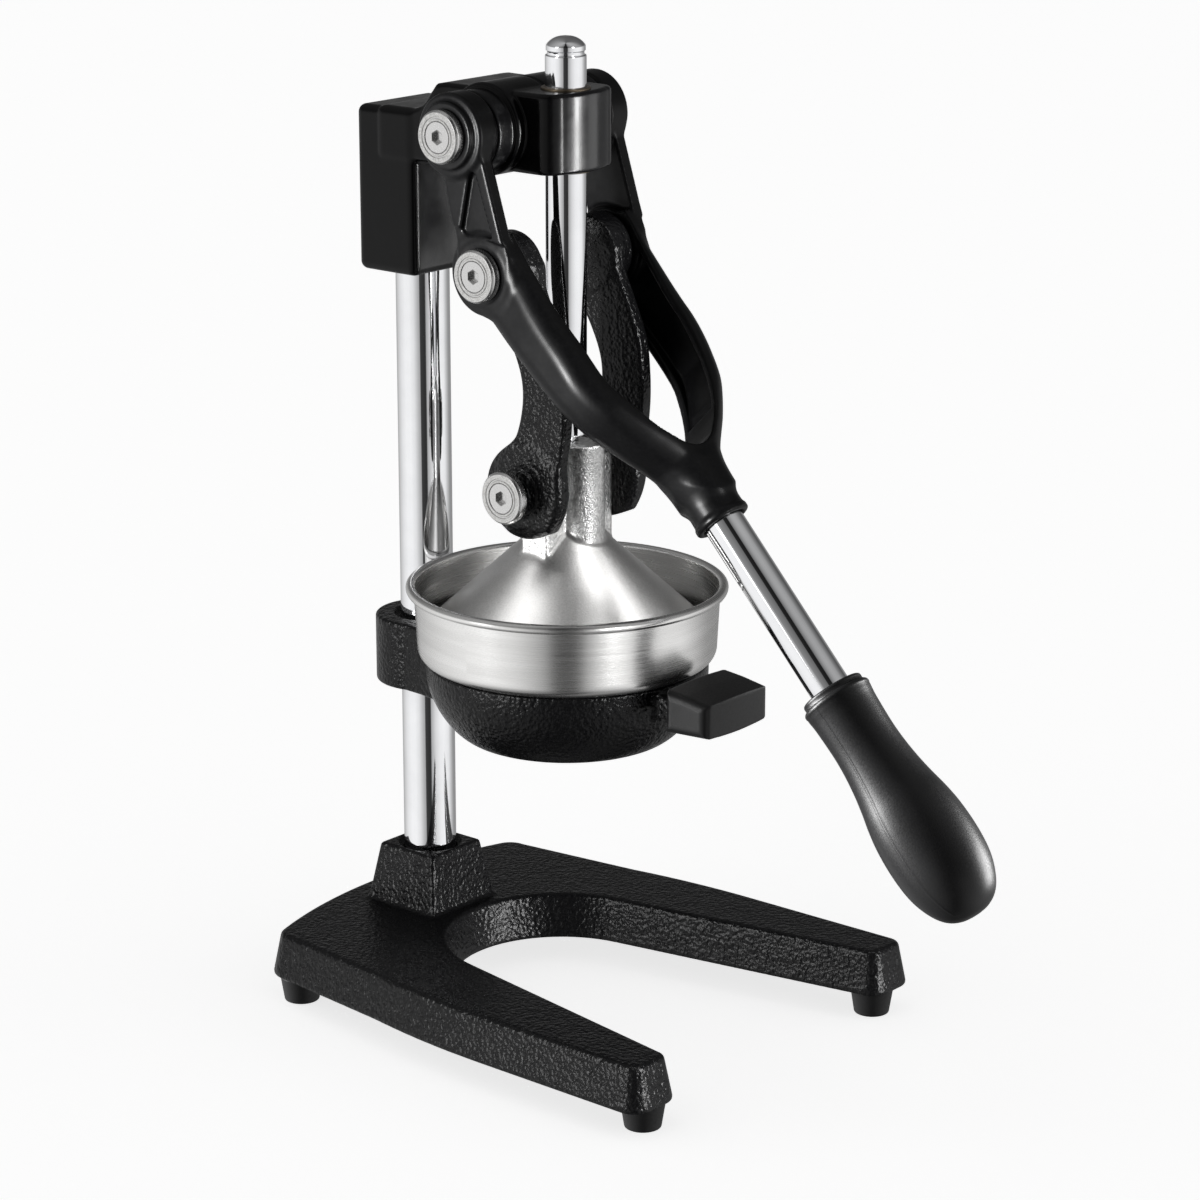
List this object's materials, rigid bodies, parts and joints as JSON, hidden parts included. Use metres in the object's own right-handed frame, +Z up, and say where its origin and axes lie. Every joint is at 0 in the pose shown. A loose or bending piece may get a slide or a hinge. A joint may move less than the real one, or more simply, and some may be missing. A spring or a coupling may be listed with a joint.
{
  "type": "lever citrus press",
  "caption": "Hand lever citrus press: forked cast base, chrome post, cast head with a rod guide, forked lever with links, press cone and steel bowl.",
  "frame": {"origin": "middle of the bounding box's underside, on the table under the feet", "axes": "+Z up, -Y to the front where the handle points, +X to the right seen from the front-facing side"},
  "size_m": [0.1808, 0.3202, 0.4015],
  "materials": {
    "textured_cast": "hammered black enamel on a rough casting",
    "gloss_cast": "smooth high-gloss black paint",
    "rubber": "matte black rubber",
    "grip_rubber": "matte black moulded rubber",
    "chrome": "polished chrome plate",
    "stainless": "circular brushed stainless steel",
    "cast_aluminium": "sandblasted neck, satin turned cone",
    "disc_metal": "grainy matte with a bright bevel",
    "bronze": "plain bronze",
    "fastener": "zinc plated"
  },
  "bodies": {
    "root": {"base": "textured_cast", "feet": "rubber", "foot_screws": "fastener", "post": "chrome", "post_bolt": "fastener", "post_washer": "fastener", "head": "gloss_cast", "head_set_screw": "fastener", "guide_bush": "bronze", "pivot_pins": "fastener", "pivot_discs": "disc_metal", "pivot_screws": "fastener", "cup_holder": "textured_cast", "holder_set_screw": "fastener", "knob_grip": "rubber", "bowl": "stainless", "strainer_cone": "stainless"},
    "yoke": {"yoke": "gloss_cast", "yoke_bushes": "bronze", "crank_pins": "fastener", "crank_discs": "disc_metal", "crank_screws": "fastener", "handle_tube": "chrome", "handle_grip": "grip_rubber"},
    "press": {"press_cone": "cast_aluminium", "link_pins": "chrome", "link_discs": "disc_metal", "link_screws": "fastener", "rod": "chrome", "rod_cap": "chrome"},
    "links": {"link_left": "textured_cast", "link_right": "textured_cast"}
  },
  "joints": [
    {"name": "handle", "type": "hinge", "parent": "root", "child": "yoke", "pos_m": [0, 0.06847, 0.366], "axis": [-1, 0, 0], "range_deg": [0, 90]},
    {"name": "press", "type": "slide", "parent": "root", "child": "press", "axis": [0, 0, 1], "range_m": [0, 0.0724]},
    {"name": "links", "type": "hinge", "parent": "press", "child": "links", "pos_m": [0, 0.04788, 0.2246], "axis": [1, 0, 0], "range_deg": [0, 26.5]}
  ],
  "couplings": [
    {"joint": "press", "follows": "handle", "m_per_rad": 0.046035},
    {"joint": "links", "follows": "handle", "ratio": 0.29342}
  ]
}
